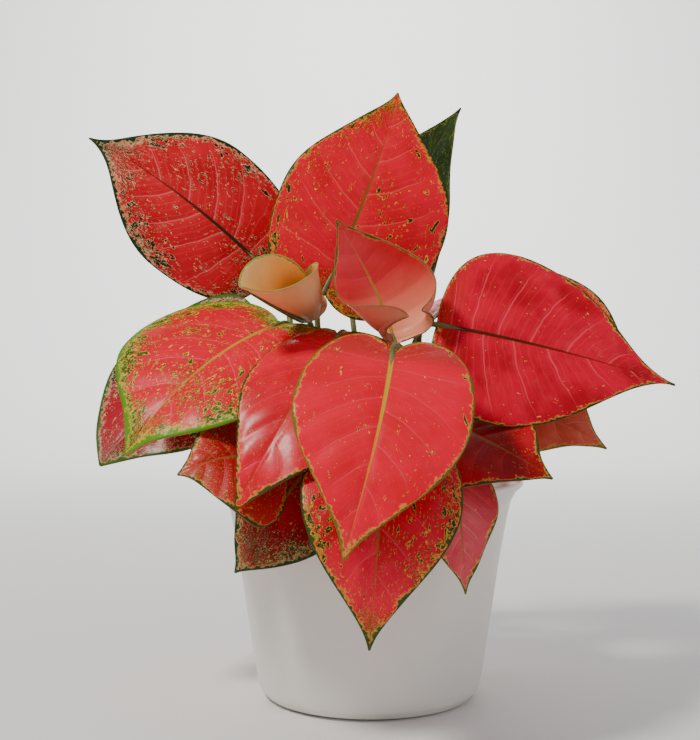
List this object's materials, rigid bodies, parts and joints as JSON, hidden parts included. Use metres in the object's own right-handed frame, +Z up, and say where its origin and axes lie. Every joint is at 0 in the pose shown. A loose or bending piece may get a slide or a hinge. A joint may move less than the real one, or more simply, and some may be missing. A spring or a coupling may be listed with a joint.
{
  "type": "potted chinese evergreen",
  "caption": "Red-leaved Chinese evergreen in a round white flared pot: open speckled leaves and rolled young leaves on stalks from upright canes.",
  "frame": {"origin": "centre of the pot's flat underside, on the surface it stands on", "axes": "+Z up the pot; -Y towards the side the plant is viewed from, +X to the viewer's right"},
  "size_m": [0.3285, 0.2919, 0.3483],
  "materials": {
    "pot": "satin white glaze",
    "potting_mix": "moist, crumbly",
    "cane": "smooth green-brown skin with ring scars",
    "leaf_top": "waxy satin leaf",
    "leaf_back_green": "waxy satin leaf",
    "leaf_upper_left": "waxy satin leaf",
    "leaf_right": "waxy satin leaf",
    "leaf_right_back": "waxy satin leaf",
    "leaf_left": "waxy satin leaf",
    "leaf_left_back": "waxy satin leaf",
    "leaf_front_left": "waxy satin leaf",
    "leaf_front": "waxy satin leaf",
    "leaf_right_pale": "waxy satin leaf",
    "leaf_right_low": "waxy satin leaf",
    "leaf_left_low": "waxy satin leaf",
    "leaf_low_centre": "waxy satin leaf",
    "leaf_low_right_pink": "waxy satin leaf",
    "leaf_low_left": "waxy satin leaf",
    "leaf_rear": "waxy satin leaf",
    "young_leaf_small": "waxy satin leaf",
    "young_leaf_large": "waxy satin leaf"
  },
  "bodies": {
    "root": {"pot": "pot", "potting_mix": "potting_mix", "cane_left": "cane", "cane_front": "cane", "cane_back": "cane", "leaf_top": "leaf_top", "leaf_back_green": "leaf_back_green", "leaf_upper_left": "leaf_upper_left", "leaf_right": "leaf_right", "leaf_right_back": "leaf_right_back", "leaf_left": "leaf_left", "leaf_left_back": "leaf_left_back", "leaf_front_left": "leaf_front_left", "leaf_front": "leaf_front", "leaf_right_pale": "leaf_right_pale", "leaf_right_low": "leaf_right_low", "leaf_left_low": "leaf_left_low", "leaf_low_centre": "leaf_low_centre", "leaf_low_right_pink": "leaf_low_right_pink", "leaf_low_left": "leaf_low_left", "leaf_rear_upper": "leaf_rear", "leaf_rear_right_up": "leaf_rear", "leaf_rear_left": "leaf_rear", "leaf_rear_centre": "leaf_rear", "leaf_rear_right": "leaf_rear", "leaf_rear_low_left": "leaf_rear", "leaf_rear_low_right": "leaf_rear", "young_leaf_small": "young_leaf_small", "young_leaf_large": "young_leaf_large"}
  },
  "joints": []
}
